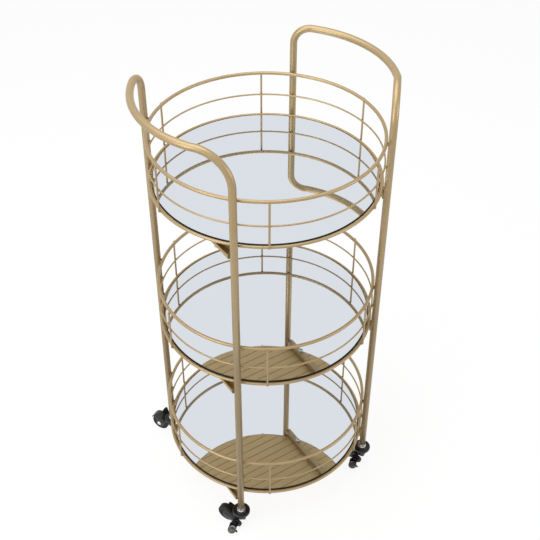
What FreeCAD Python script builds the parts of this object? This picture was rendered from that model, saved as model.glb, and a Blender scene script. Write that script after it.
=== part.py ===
import FreeCAD
import Part
import math
import os

# Three-tier round dessert trolley. Millimetres, +Z up, origin on the floor under the
# trolley's axis. The two bent-tube side frames stand at -X and +X, and their bars run along Y.

# ---- Baskets -------------------------------------------------------------------------
basket_names = ["bottom", "middle", "top"]
basket_outer_radius = 200.0     # the three hoops of a basket share this outer face
first_base_height = 99.5        # centre of the lowest base hoop above the floor
basket_pitch = 305.5            # from one base hoop to the next
rail_height = 85.5              # top rail above the base hoop, centre to centre
middle_height = 41.5            # middle hoop above the base hoop, centre to centre
rail_wire = 6.0
middle_wire = 3.0
base_wire = 5.0
upright_wire = 3.5
upright_count = 6
upright_overhang = 1.0          # the upright ends this far below the base hoop
weld_gap = 0.05                 # left between wires that the maker welds together

# ---- Tray pans and mirrors -----------------------------------------------------------
pan_sheet = 1.5
pan_floor_drop = 5.0            # pan floor below the base hoop's centre
pan_bend_radius = 2.5           # outside radius where the floor turns up into the rim
pan_clearance = 0.1             # pan rim to base hoop
rib_pitch = 19.0                # pressed lines across the underside
rib_width = 1.6
rib_depth = 0.5
rib_margin = 9.0                # the lines stop this far inside the rim
mirror_thickness = 3.0
mirror_gap = 1.4                # mirror edge to pan rim
mirror_bevel = 0.6

# ---- Side frames ---------------------------------------------------------------------
tube_diameter = 12.0
tube_wall = 1.2
leg_clearance = 0.3             # tube to the baskets' outer face
leg_spacing = 285.0             # between the two legs of one frame, along Y
leg_end_height = 49.0           # open lower end of the legs above the floor
handle_height = 883.0           # centre of the handle tube above the floor
handle_corner_radius = 34.0     # bend from leg to handle
handle_shoulder_radius = 36.0   # plan bend beside each corner
handle_bow_radius = 216.0       # plan bend of the long middle stretch
handle_shoulder_angle = 50.0    # plan direction in which the tube leaves a leg

# ---- Crossbars and tray fixings ------------------------------------------------------
bar_sheet = 1.5
bar_width = 13.0
bar_offset = 2.0                # bar centre outside the leg axes
bar_lip_height = 8.5
bar_depth = 22.3                # underside of the bar below the base hoop's centre
bar_bend_radius = 2.5
bar_pan_gap = 0.3               # tall flange to pan
bar_leg_gap = 0.05
screw_spacing = 186.0           # between the two tray screws of a bar
screw_diameter = 6.0
screw_thread_length = 10.0
screw_head_diameter = 10.0
screw_head_height = 6.0
screw_socket = 5.0              # across the flats
screw_socket_depth = 3.0
boss_diameter = 10.0
boss_bore_clearance = 0.05
boss_bore_depth = 12.0

# ---- Leg inserts and caster stems ----------------------------------------------------
insert_length = 20.0
insert_flange = 1.0
insert_clearance = 0.05
stem_diameter = 8.0
stem_clearance = 0.06
stem_length_in_leg = 22.0
nut_flats = 13.0
nut_height = 4.6
washer_diameter = 17.0
washer_height = 1.2
stem_head_diameter = 13.0
stem_head_height = 3.0

# ---- Casters -------------------------------------------------------------------------
wheel_diameter = 38.0
wheel_width = 14.0
wheel_edge_radius = 2.5
wheel_dish_depth = 1.6
wheel_dish_rim = 4.5
hub_diameter = 13.0
trail = 32.0                    # wheel axle behind the swivel axis
drum_diameter = 27.0
drum_bottom_height = 22.0
race_diameter = 36.0            # swivel race cover, the widest part of the housing
race_height = 6.0
race_edge_radius = 3.0
stem_pocket_clearance = 0.4
arm_thickness = 3.0
arm_side_gap = 0.6              # arm to wheel
arm_end_radius = 8.5
fender_gap = 1.6                # wheel tread to fender
fender_thickness = 2.4
fender_end_angle = 78.0         # where the fender stops over the wheel, from the trail line
axle_diameter = 6.0
axle_clearance = 0.06
axle_cap_diameter = 9.5
axle_cap_height = 2.6
cap_side_gap = 0.3
caster_angles = {"front": 118.0, "right": 118.0, "left": 118.0, "rear": 118.0}
caster_corners = {"front": (-1, -1), "right": (1, -1), "left": (-1, 1), "rear": (1, 1)}
brake_casters = ["front", "right"]

# ---- Brake pedals --------------------------------------------------------------------
brake_shaft_diameter = 6.0
brake_shaft_trail = 9.0         # behind the swivel axis
brake_shaft_height = 13.0
brake_shaft_clearance = 0.06
brake_boss_diameter = 13.0
brake_boss_length = 5.0
brake_pedal_gap = 0.4
brake_travel = 35.0             # degrees from released to pressed
pedal_length = 17.0             # along the shaft
pedal_reach = 11.0              # from the shaft to the pedal's tip
pedal_radius = 7.0
pedal_thickness = 4.0
pedal_lift = 4.0                # middle of the pedal above the shaft
cam_tread_gap = 0.4              # cam nose to the wheel when the pedal is down
cam_nose_radius = 2.2
cam_collar_wall = 0.8
cam_arm_gap = 0.6
cam_pocket_gap = 0.6            # cam nose to the housing all round

# ---- Sizes that follow ---------------------------------------------------------------
tube_radius = tube_diameter / 2
leg_y = leg_spacing / 2
leg_x = math.sqrt((basket_outer_radius + leg_clearance + tube_radius) ** 2 - leg_y ** 2)
base_radius = basket_outer_radius - base_wire / 2
rail_radius = basket_outer_radius - rail_wire / 2
middle_radius = basket_outer_radius - middle_wire / 2
pan_radius = basket_outer_radius - base_wire - pan_clearance
mirror_radius = pan_radius - pan_sheet - mirror_gap
pan_underside = -pan_floor_drop - pan_sheet
bar_x = leg_x + bar_offset
bar_floor_top = -bar_depth + bar_sheet
wheel_radius = wheel_diameter / 2
arm_inner = wheel_width / 2 + arm_side_gap
arm_outer = arm_inner + arm_thickness
fender_inner = wheel_radius + fender_gap
fender_outer = fender_inner + fender_thickness
washer_top = leg_end_height - insert_flange - nut_height
drum_top_height = washer_top - washer_height
shaft_to_wheel = math.hypot(trail - brake_shaft_trail, wheel_radius - brake_shaft_height)
cam_reach = shaft_to_wheel - wheel_radius - cam_tread_gap


def vec(x, y, z):
    return FreeCAD.Vector(x, y, z)


UP = vec(0, 0, 1)
ALONG_Y = vec(0, 1, 0)


def save(shape, name):
    shape.exportStep("parts/" + name + ".step")


def rod(radius, length, start, direction=UP):
    return Part.makeCylinder(radius, length, start, direction)


def hexagon(flats, height, bottom):
    """Upright hexagonal prism on the Z axis, flats wide, its underside at bottom."""
    corner = flats / math.sqrt(3)
    points = []
    for side in range(7):
        angle = math.radians(60 * side)
        points.append(vec(corner * math.cos(angle), corner * math.sin(angle), bottom))
    return Part.Face(Part.makePolygon(points)).extrude(vec(0, 0, height))


def polar(radius, degrees, height):
    angle = math.radians(degrees)
    return vec(radius * math.cos(angle), radius * math.sin(angle), height)


# ---- Side frames: one tube bent into an inverted U, its top bowed round the baskets ----

def bend_point(centre, radius, angle):
    return vec(centre[0] + radius * math.cos(angle), centre[1] + radius * math.sin(angle), handle_height)


def frame_path():
    """Centre line of the +X side frame, from the front leg's end up and over to the other."""
    end = math.radians(handle_shoulder_angle)
    shoulder = handle_shoulder_radius
    drop = handle_corner_radius
    offset = handle_bow_radius - shoulder
    bow = math.asin((leg_y - shoulder * math.sin(end) - drop * math.cos(end)) / offset)
    bow_x = leg_x - offset * math.cos(bow) - shoulder * math.cos(end) + drop * math.sin(end)
    bow_centre = (bow_x, 0)
    shoulder_centre = (bow_x + offset * math.cos(bow), offset * math.sin(bow))

    handle_end = bend_point(shoulder_centre, shoulder, end)
    shoulder_mid = bend_point(shoulder_centre, shoulder, (end + bow) / 2)
    bow_end = bend_point(shoulder_centre, shoulder, bow)
    bow_mid = bend_point(bow_centre, handle_bow_radius, 0)
    leg_top = vec(leg_x, leg_y, handle_height - drop)
    leg_end = vec(leg_x, leg_y, leg_end_height)
    inward = (handle_end - vec(leg_x, leg_y, handle_height)).multiply(1 - math.sqrt(0.5))
    corner_mid = vec(leg_x, leg_y, handle_height - drop + drop * math.sqrt(0.5)) + inward

    def front(point):
        return vec(point.x, -point.y, point.z)

    edges = [
        Part.LineSegment(front(leg_end), front(leg_top)),
        Part.Arc(front(leg_top), front(corner_mid), front(handle_end)),
        Part.Arc(front(handle_end), front(shoulder_mid), front(bow_end)),
        Part.Arc(front(bow_end), bow_mid, bow_end),
        Part.Arc(bow_end, shoulder_mid, handle_end),
        Part.Arc(handle_end, corner_mid, leg_top),
        Part.LineSegment(leg_top, leg_end),
    ]
    return Part.Wire([edge.toShape() for edge in edges])


def sweep_round(path, radius):
    start = vec(leg_x, -leg_y, leg_end_height)
    disc = Part.Face(Part.Wire(Part.makeCircle(radius, start, UP)))
    return path.makePipe(disc)


def side_frame():
    path = frame_path()
    return sweep_round(path, tube_radius).cut(sweep_round(path, tube_radius - tube_wall))


# ---- Basket hoops and uprights: drawn wire rolled into rings and welded ----

def hoop(radius, wire, height):
    return Part.makeTorus(radius, wire / 2, vec(0, 0, height), UP)


def uprights(base_height):
    """Six short rods on the outside of the hoops, each with a slightly broken edge."""
    bottom = base_height - base_wire / 2 - upright_overhang
    length = base_height + rail_height - bottom
    radius = basket_outer_radius + weld_gap + upright_wire / 2
    rods = []
    for index in range(upright_count):
        foot = polar(radius, 360 * index / upright_count, bottom)
        blank = rod(upright_wire / 2, length, foot)
        round_edges = [edge for edge in blank.Edges if isinstance(edge.Curve, Part.Circle)]
        rods.append(blank.makeChamfer(upright_wire / 6, round_edges))
    return Part.makeCompound(rods)


# ---- Pan: shallow pressed dish with lines across its underside, and its mirror ----

def revolved(points):
    """Full turn about Z of a closed outline given as (radius, height) points."""
    outline = Part.makePolygon([vec(radius, 0, height) for radius, height in points])
    return Part.Face(outline).revolve(vec(0, 0, 0), UP, 360)


def dish(radius, bend, floor, top):
    """Solid dish blank: a disc whose lower edge is rounded by the bend."""
    blank = rod(radius, top - floor, vec(0, 0, floor))
    lower_edge = [edge for edge in blank.Edges
                  if isinstance(edge.Curve, Part.Circle) and edge.CenterOfMass.z < floor + 0.01]
    return blank.makeFillet(bend, lower_edge)


def rib_line(y, reach):
    """V-shaped groove along X in the pan's underside."""
    half = rib_width / 2
    points = [(-half, 0), (half, 0), (0, rib_depth), (-half, 0)]
    outline = Part.makePolygon([vec(-reach, y + across, pan_underside + up) for across, up in points])
    return Part.Face(outline).extrude(vec(2 * reach, 0, 0))


def pan():
    outer = dish(pan_radius, pan_bend_radius, pan_underside, 0)
    inner = dish(pan_radius - pan_sheet, pan_bend_radius - pan_sheet, -pan_floor_drop, 1)
    shell = outer.cut(inner)
    rib_radius = pan_radius - rib_margin
    count = int(rib_radius / rib_pitch - 0.5)
    lines = []
    for index in range(-count - 1, count + 1):
        y = (index + 0.5) * rib_pitch
        lines.append(rib_line(y, math.sqrt(rib_radius ** 2 - y ** 2)))
    return shell.cut(Part.makeCompound(lines))


def mirror():
    blank = rod(mirror_radius, mirror_thickness, vec(0, 0, -pan_floor_drop))
    top_edge = [edge for edge in blank.Edges
                if isinstance(edge.Curve, Part.Circle)
                and edge.CenterOfMass.z > mirror_thickness - pan_floor_drop - 0.01]
    return blank.makeChamfer(mirror_bevel, top_edge)


# ---- Crossbar: folded channel between the two legs of a frame ----

def crossbar():
    """The +X bar, tall flange towards the axis, low lip outside, coped round the legs."""
    inner = bar_x - bar_width / 2
    outer = bar_x + bar_width / 2
    top = pan_underside - bar_pan_gap
    lip_top = -bar_depth + bar_lip_height
    points = [(inner, top), (inner, -bar_depth), (outer, -bar_depth), (outer, lip_top),
              (outer - bar_sheet, lip_top), (outer - bar_sheet, bar_floor_top),
              (inner + bar_sheet, bar_floor_top), (inner + bar_sheet, top), (inner, top)]
    outline = Part.makePolygon([vec(x, -leg_y, z) for x, z in points])
    bar = Part.Face(outline).extrude(vec(0, leg_spacing, 0))
    corners = [edge for edge in bar.Edges
               if edge.Length > leg_spacing - 1 and edge.CenterOfMass.z < -bar_depth + 0.01]
    bar = bar.makeFillet(bar_bend_radius, corners)
    for side in (-1, 1):
        cope = rod(tube_radius + bar_leg_gap, bar_depth, vec(leg_x, side * leg_y, -bar_depth - 1))
        hole = rod(screw_diameter / 2 + boss_bore_clearance, bar_depth,
                   vec(bar_x, side * screw_spacing / 2, -bar_depth - 1))
        bar = bar.cut(cope).cut(hole)
    beyond = Part.makeBox(2 * bar_width, tube_diameter, 2 * bar_depth)
    for corner_y in (leg_y, -leg_y - tube_diameter):
        bar = bar.cut(beyond.translated(vec(bar_x - bar_width, corner_y, -1.5 * bar_depth)))
    return bar


def fixing_places():
    return [vec(side_x * bar_x, side_y * screw_spacing / 2, 0) for side_x in (-1, 1) for side_y in (-1, 1)]


def threaded_boss():
    """Round boss welded under the pan, standing on the bar's floor."""
    height = pan_underside - bar_floor_top
    bore = rod(screw_diameter / 2 + boss_bore_clearance, boss_bore_depth, vec(0, 0, bar_floor_top))
    return rod(boss_diameter / 2, height, vec(0, 0, bar_floor_top)).cut(bore)


def tray_screw():
    """Socket-head screw driven up through the bar's floor into the boss."""
    head_bottom = -bar_depth - screw_head_height
    head = rod(screw_head_diameter / 2, screw_head_height, vec(0, 0, head_bottom))
    lower_edge = [edge for edge in head.Edges
                  if isinstance(edge.Curve, Part.Circle) and edge.CenterOfMass.z < head_bottom + 0.01]
    head = head.makeChamfer(screw_head_height / 10, lower_edge)
    shank = rod(screw_diameter / 2, bar_sheet + screw_thread_length, vec(0, 0, -bar_depth))
    return head.fuse(shank).cut(hexagon(screw_socket, screw_socket_depth, head_bottom))


def group_at(shape, places, height):
    return Part.makeCompound([shape.translated(place + vec(0, 0, height)) for place in places])


# ---- Casters: built about their own swivel axis, trailing along +X, then turned and placed ----

def leg_insert():
    """Steel plug pressed into the leg's end, with a flange under the tube and a stem bore."""
    flange = rod(tube_radius, insert_flange, vec(0, 0, leg_end_height - insert_flange))
    body = rod(tube_radius - tube_wall - insert_clearance, insert_length, vec(0, 0, leg_end_height))
    bore = rod(stem_diameter / 2 + insert_clearance, insert_length * 2, vec(0, 0, leg_end_height - 5))
    return flange.fuse(body).cut(bore)


def caster_stem():
    """Stud with its lock nut and washer; the head inside the drum carries the housing."""
    head_bottom = drum_bottom_height + stem_pocket_clearance
    head = rod(stem_head_diameter / 2, stem_head_height, vec(0, 0, head_bottom))
    stud = rod(stem_diameter / 2, leg_end_height + stem_length_in_leg - head_bottom, vec(0, 0, head_bottom))
    washer = rod(washer_diameter / 2, washer_height - stem_pocket_clearance / 2,
                 vec(0, 0, drum_top_height + stem_pocket_clearance / 2))
    nut = hexagon(nut_flats, nut_height, washer_top)
    return head.fuse([stud, washer, nut])


def side_outline():
    """Side view of the housing behind the drum: sloping top, and an arm round the axle."""
    boss_top = polar(arm_end_radius, 62, 0)
    boss_rear = polar(arm_end_radius, 0, 0)
    boss_bottom = polar(arm_end_radius, -100, 0)
    boss_low_rear = polar(arm_end_radius, -50, 0)

    def place(point):
        return vec(trail + point.x, 0, wheel_radius + point.y)

    fender_top = vec(trail + fender_outer * math.cos(math.radians(fender_end_angle)), 0,
                     wheel_radius + fender_outer * math.sin(math.radians(fender_end_angle)))
    fender_mid = vec(trail + fender_outer * math.cos(math.radians(108)), 0,
                     wheel_radius + fender_outer * math.sin(math.radians(108)))
    fender_front = vec(trail + fender_outer * math.cos(math.radians(135)), 0,
                       wheel_radius + fender_outer * math.sin(math.radians(135)))
    drum_side_top = vec(0, 0, fender_front.z)
    drum_side_bottom = vec(0, 0, drum_bottom_height)
    belly = vec(drum_diameter / 2, 0, brake_shaft_height - brake_boss_diameter / 2)
    chin = vec(0, 0, brake_shaft_height - brake_boss_diameter / 2)
    edges = [
        Part.LineSegment(chin, belly),
        Part.LineSegment(belly, place(boss_bottom)),
        Part.Arc(place(boss_bottom), place(boss_low_rear), place(boss_rear)),
        Part.Arc(place(boss_rear), place(polar(arm_end_radius, 31, 0)), place(boss_top)),
        Part.LineSegment(place(boss_top), fender_top),
        Part.Arc(fender_top, fender_mid, fender_front),
        Part.LineSegment(fender_front, drum_side_top),
        Part.LineSegment(drum_side_top, drum_side_bottom),
        Part.LineSegment(drum_side_bottom, chin),
    ]
    return Part.Face(Part.Wire([edge.toShape() for edge in edges]))


def race_cover():
    """Round cover over the swivel's ball race, its upper edge rolled over."""
    blank = rod(race_diameter / 2, race_height, vec(0, 0, drum_top_height - race_height))
    top_edge = [edge for edge in blank.Edges
                if isinstance(edge.Curve, Part.Circle) and edge.CenterOfMass.z > drum_top_height - 0.01]
    return blank.makeFillet(race_edge_radius, top_edge)


def caster_housing(with_brake):
    """Moulded fork: a drum round the stem, two arms to the axle, and a fender between them."""
    drum = rod(drum_diameter / 2, drum_top_height - drum_bottom_height, vec(0, 0, drum_bottom_height))
    fork = side_outline().extrude(vec(0, 2 * arm_outer, 0)).translated(vec(0, -arm_outer, 0))
    body = race_cover().fuse([drum, fork])

    axle_centre = vec(trail, -arm_inner, wheel_radius)
    body = body.cut(rod(fender_inner, 2 * arm_inner, axle_centre, ALONG_Y))
    below_wheel = Part.makeBox(fender_inner, 2 * arm_inner, wheel_radius)
    body = body.cut(below_wheel.translated(vec(trail - fender_inner, -arm_inner, 0)))
    body = body.cut(rod(axle_diameter / 2 + axle_clearance, 4 * arm_outer,
                        vec(trail, -2 * arm_outer, wheel_radius), ALONG_Y))
    body = body.cut(rod(stem_diameter / 2 + stem_clearance, leg_end_height, vec(0, 0, 0)))
    pocket_top = drum_bottom_height + stem_head_height + 2 * stem_pocket_clearance
    body = body.cut(rod(stem_head_diameter / 2 + stem_pocket_clearance, pocket_top, vec(0, 0, 0)))
    if with_brake:
        shaft_start = vec(brake_shaft_trail, -2 * arm_outer, brake_shaft_height)
        boss = rod(brake_boss_diameter / 2, brake_boss_length,
                   vec(brake_shaft_trail, arm_outer, brake_shaft_height), ALONG_Y)
        body = body.fuse(boss)
        body = body.cut(rod(brake_shaft_diameter / 2 + brake_shaft_clearance, 4 * arm_outer,
                            shaft_start, ALONG_Y))
        body = body.cut(rod(cam_reach + cam_pocket_gap, 2 * arm_inner,
                            vec(brake_shaft_trail, -arm_inner, brake_shaft_height), ALONG_Y))
    return body


def wheel():
    """Solid moulded wheel with rounded tread edges, dished sides and a bored hub."""
    start = vec(trail, -wheel_width / 2, wheel_radius)
    blank = rod(wheel_radius, wheel_width, start, ALONG_Y)
    rim_edges = [edge for edge in blank.Edges if isinstance(edge.Curve, Part.Circle)]
    tyre = blank.makeFillet(wheel_edge_radius, rim_edges)
    for face_y in (-wheel_width / 2, wheel_width / 2 - wheel_dish_depth):
        face = vec(trail, face_y, wheel_radius)
        dish_blank = rod(wheel_radius - wheel_dish_rim, wheel_dish_depth, face, ALONG_Y)
        tyre = tyre.cut(dish_blank.cut(rod(hub_diameter / 2, wheel_dish_depth, face, ALONG_Y)))
    return tyre.cut(rod(axle_diameter / 2 + axle_clearance, wheel_width, start, ALONG_Y))


def axle():
    """Pin through both arms with a domed cap on each end."""
    cap_inner = arm_outer + cap_side_gap
    pin = rod(axle_diameter / 2, 2 * cap_inner, vec(trail, -cap_inner, wheel_radius), ALONG_Y)
    dome_radius = ((axle_cap_diameter / 2) ** 2 + axle_cap_height ** 2) / (2 * axle_cap_height)
    dome = Part.makeSphere(dome_radius, vec(0, 0, axle_cap_height - dome_radius))
    above = rod(dome_radius, dome_radius * 2, vec(0, 0, 0))
    cap = dome.common(above)
    ends = []
    for side in (-1, 1):
        turned = cap.copy()
        turned.rotate(vec(0, 0, 0), vec(1, 0, 0), -90 * side)
        ends.append(turned.translated(vec(trail, side * cap_inner, wheel_radius)))
    return pin.fuse(ends)


def brake_cam():
    """Collar keyed to the brake shaft in front of the tread; its nose meets it on pressing."""
    towards_wheel = math.atan2(wheel_radius - brake_shaft_height, trail - brake_shaft_trail)
    turn = towards_wheel - math.radians(brake_travel)
    width = 2 * (arm_inner - cam_arm_gap)
    centre = vec(brake_shaft_trail, -width / 2, brake_shaft_height)
    offset = cam_reach - cam_nose_radius
    nose = centre + vec(offset * math.cos(turn), 0, offset * math.sin(turn))
    collar = rod(brake_shaft_diameter / 2 + cam_collar_wall, width, centre, ALONG_Y)
    bore = rod(brake_shaft_diameter / 2 + brake_shaft_clearance, width, centre, ALONG_Y)
    return collar.fuse(rod(cam_nose_radius, width, nose, ALONG_Y)).cut(bore)


def brake_pedal():
    """Cross shaft through the fork with a rounded foot pedal outside it."""
    shaft_end = arm_outer + brake_boss_length + brake_pedal_gap
    shaft = rod(brake_shaft_diameter / 2, shaft_end + arm_outer,
                vec(brake_shaft_trail, -arm_outer, brake_shaft_height), ALONG_Y)
    hub = rod(brake_boss_diameter / 2 - 1, pedal_thickness,
              vec(brake_shaft_trail, shaft_end, brake_shaft_height), ALONG_Y)
    tip_x = brake_shaft_trail - pedal_reach + pedal_radius
    near = vec(tip_x, shaft_end + pedal_radius, brake_shaft_height + pedal_lift)
    plate = rod(pedal_radius, pedal_thickness, near)
    plate = plate.fuse(rod(pedal_radius, pedal_thickness, near + vec(0, pedal_length - 2 * pedal_radius, 0)))
    web = Part.makeBox(pedal_reach, pedal_length - pedal_radius, pedal_thickness)
    plate = plate.fuse(web.translated(vec(tip_x - pedal_radius / 2, shaft_end, near.z)))
    return shaft.fuse([hub, plate])


def at_corner(shape, name):
    side_x, side_y = caster_corners[name]
    turned = shape.copy()
    turned.rotate(vec(0, 0, 0), UP, caster_angles[name])
    return turned.translated(vec(side_x * leg_x, side_y * leg_y, 0))


def save_side_frames():
    frame = side_frame()
    save(frame, "side_frame_right")
    save(frame.mirror(vec(0, 0, 0), vec(1, 0, 0)), "side_frame_left")


def save_baskets():
    bar = crossbar()
    for level, name in enumerate(basket_names):
        height = first_base_height + level * basket_pitch
        lift = vec(0, 0, height)
        save(hoop(rail_radius, rail_wire, height + rail_height), name + "_rail_hoop")
        save(hoop(middle_radius, middle_wire, height + middle_height), name + "_middle_hoop")
        save(hoop(base_radius, base_wire, height), name + "_base_hoop")
        save(uprights(height), name + "_uprights")
        save(pan().translated(lift), name + "_tray_pan")
        save(mirror().translated(lift), name + "_mirror")
        save(bar.translated(lift), name + "_crossbar_right")
        save(bar.translated(lift).mirror(vec(0, 0, 0), vec(1, 0, 0)), name + "_crossbar_left")
        save(group_at(threaded_boss(), fixing_places(), height), name + "_tray_bosses")
        save(group_at(tray_screw(), fixing_places(), height), name + "_tray_screws")


def save_casters():
    inserts = [at_corner(leg_insert(), name) for name in caster_corners]
    save(Part.makeCompound(inserts), "leg_inserts")
    for name in caster_corners:
        braked = name in brake_casters
        save(at_corner(caster_stem(), name), name + "_caster_stem")
        save(at_corner(caster_housing(braked), name), name + "_caster_housing")
        save(at_corner(wheel(), name), name + "_caster_wheel")
        save(at_corner(axle(), name), name + "_caster_axle")
        if braked:
            save(at_corner(brake_pedal(), name), name + "_brake_pedal")
            save(at_corner(brake_cam(), name), name + "_brake_cam")


os.makedirs("parts", exist_ok=True)
save_side_frames()
save_baskets()
save_casters()
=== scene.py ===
import math

import bmesh
import bpy
from mathutils import Matrix, Vector


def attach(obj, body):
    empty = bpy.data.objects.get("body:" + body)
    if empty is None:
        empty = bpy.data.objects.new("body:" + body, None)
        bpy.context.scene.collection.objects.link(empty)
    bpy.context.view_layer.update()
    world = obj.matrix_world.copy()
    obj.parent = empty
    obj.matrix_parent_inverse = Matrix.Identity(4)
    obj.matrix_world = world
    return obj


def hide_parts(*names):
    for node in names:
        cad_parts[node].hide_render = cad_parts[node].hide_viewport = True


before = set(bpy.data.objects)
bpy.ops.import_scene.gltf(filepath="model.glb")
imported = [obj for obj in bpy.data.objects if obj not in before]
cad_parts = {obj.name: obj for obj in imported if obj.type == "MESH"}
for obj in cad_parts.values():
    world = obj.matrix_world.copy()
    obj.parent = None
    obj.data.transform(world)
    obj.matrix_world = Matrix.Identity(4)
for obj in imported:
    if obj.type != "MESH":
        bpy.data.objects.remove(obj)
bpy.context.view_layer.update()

# Side frames. Each is one thin steel tube bent into an upside-down U, with its top bowed out
# into the handle, and sprayed with a satin champagne-gold metallic paint.

# Shapes are drawn in millimetres, and finish_piece turns them into metres.
TUBE_RADIUS = 6.35
TUBE_WALL = 1.2
LEG_X = 149.65
LEG_Y = 143.1
LEG_END = 56.5
HANDLE_HEIGHT = 882.4
FRONT_CORNER, BACK_CORNER = 62.0, 30.0
FRONT_ANGLE, BACK_ANGLE = math.radians(39.5), math.radians(48.5)
SHOULDER_RADIUS = 12.0
BOW_RADIUS = 192.0
TUBE_SEGMENTS = 40
FRONT_CORNER_STEPS, SHOULDER_STEPS, BOW_STEPS, BACK_CORNER_STEPS = 24, 4, 48, 16
CHAMPAGNE = (0.455, 0.335, 0.175, 1)
CHAMPAGNE_DEEP = (0.405, 0.295, 0.15, 1)
UP = Vector((0, 0, 1))
MIX_A, MIX_B, MIX_RESULT = 6, 7, 2  # a Mix node's colour sockets
PEEL_HEIGHT = 0.0004
METRES = 0.001


def node_group(name, inputs, outputs):
    """Empty shader group with float inputs, given as name: default, and typed outputs."""
    group = bpy.data.node_groups.new(name, "ShaderNodeTree")
    for label, default in inputs.items():
        socket = group.interface.new_socket(label, in_out="INPUT", socket_type="NodeSocketFloat")
        socket.default_value = default
    for label, kind in outputs.items():
        group.interface.new_socket(label, in_out="OUTPUT", socket_type="NodeSocket" + kind)
    return group, group.nodes.new("NodeGroupInput"), group.nodes.new("NodeGroupOutput")


def make_paint_skin():
    """Sprayed paint: a fine orange peel in the normal, and broad soft patches in the gloss."""
    group, given, out = node_group(
        "paint_skin",
        {"Peel Scale": 700, "Peel Depth": 0.04, "Patch Scale": 14},
        {"Patches": "Float", "Normal": "Vector"},
    )
    nodes, links = group.nodes, group.links
    place = nodes.new("ShaderNodeTexCoord")
    peel = nodes.new("ShaderNodeTexNoise")
    peel.inputs["Detail"].default_value = 2
    patches = nodes.new("ShaderNodeTexNoise")
    patches.inputs["Detail"].default_value = 3
    bump = nodes.new("ShaderNodeBump")
    bump.inputs["Distance"].default_value = PEEL_HEIGHT
    links.new(place.outputs["Object"], peel.inputs["Vector"])
    links.new(place.outputs["Object"], patches.inputs["Vector"])
    links.new(given.outputs["Peel Scale"], peel.inputs["Scale"])
    links.new(given.outputs["Patch Scale"], patches.inputs["Scale"])
    links.new(peel.outputs["Fac"], bump.inputs["Height"])
    links.new(given.outputs["Peel Depth"], bump.inputs["Strength"])
    links.new(patches.outputs["Fac"], out.inputs["Patches"])
    links.new(bump.outputs["Normal"], out.inputs["Normal"])
    return group


paint_skin = make_paint_skin()


def new_material(name):
    material = bpy.data.materials.new(name)
    material.use_nodes = True
    return material, material.node_tree.nodes, material.node_tree.links


def add_group(nodes, group, **values):
    node = nodes.new("ShaderNodeGroup")
    node.node_tree = group
    for label, value in values.items():
        node.inputs[label.replace("_", " ")].default_value = value
    return node


def add_range(nodes, low, high):
    """Spreads a 0.3 to 0.7 noise over low to high."""
    node = nodes.new("ShaderNodeMapRange")
    node.inputs["From Min"].default_value = 0.3
    node.inputs["From Max"].default_value = 0.7
    node.inputs["To Min"].default_value = low
    node.inputs["To Max"].default_value = high
    return node


def sprayed(name, light, deep, metallic, smooth, rough, **skin_values):
    """Sprayed paint whose colour and gloss drift a little from patch to patch."""
    material, nodes, links = new_material(name)
    shader = nodes["Principled BSDF"]
    skin = add_group(nodes, paint_skin, **skin_values)
    tint = nodes.new("ShaderNodeMix")
    tint.data_type = "RGBA"
    tint.inputs[MIX_A].default_value = deep
    tint.inputs[MIX_B].default_value = light
    gloss = add_range(nodes, smooth, rough)
    links.new(skin.outputs["Patches"], tint.inputs["Factor"])
    links.new(skin.outputs["Patches"], gloss.inputs["Value"])
    links.new(tint.outputs[MIX_RESULT], shader.inputs["Base Color"])
    links.new(gloss.outputs["Result"], shader.inputs["Roughness"])
    links.new(skin.outputs["Normal"], shader.inputs["Normal"])
    shader.inputs["Metallic"].default_value = metallic
    return material


PAINT_METAL = 0.5
champagne_tube = sprayed("champagne_tube", CHAMPAGNE, CHAMPAGNE_DEEP, PAINT_METAL, 0.30, 0.38)


def finish_piece(name, shape, materials, body, slot, *nodes, sharp=35):
    """Turns a shape in millimetres into a piece that rides on a body in place of CAD nodes."""
    bmesh.ops.scale(shape, vec=(METRES, METRES, METRES), verts=shape.verts)
    mesh = bpy.data.meshes.new(name)
    shape.to_mesh(mesh)
    shape.free()
    for material in materials:
        mesh.materials.append(material)
    mesh.shade_smooth()
    mesh.set_sharp_from_angle(angle=math.radians(sharp))
    piece = bpy.data.objects.new(name, mesh)
    bpy.context.scene.collection.objects.link(piece)
    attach(piece, body)
    if nodes:
        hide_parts(*nodes)
    return piece


def carry_on(shape, end, centre, axis, angle, steps, shift=(0, 0, 0)):
    """Draws an open tube's end on, round a bend or straight, and gives its new end."""
    drawn = bmesh.ops.spin(shape, geom=end, cent=centre, axis=axis, dvec=shift, angle=angle,
                           steps=steps)
    return drawn["geom_last"]


def plan(radius, angle):
    return Vector((radius * math.cos(angle), radius * math.sin(angle), 0))


def plan_angle(arm):
    return math.atan2(arm.y, arm.x)


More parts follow.
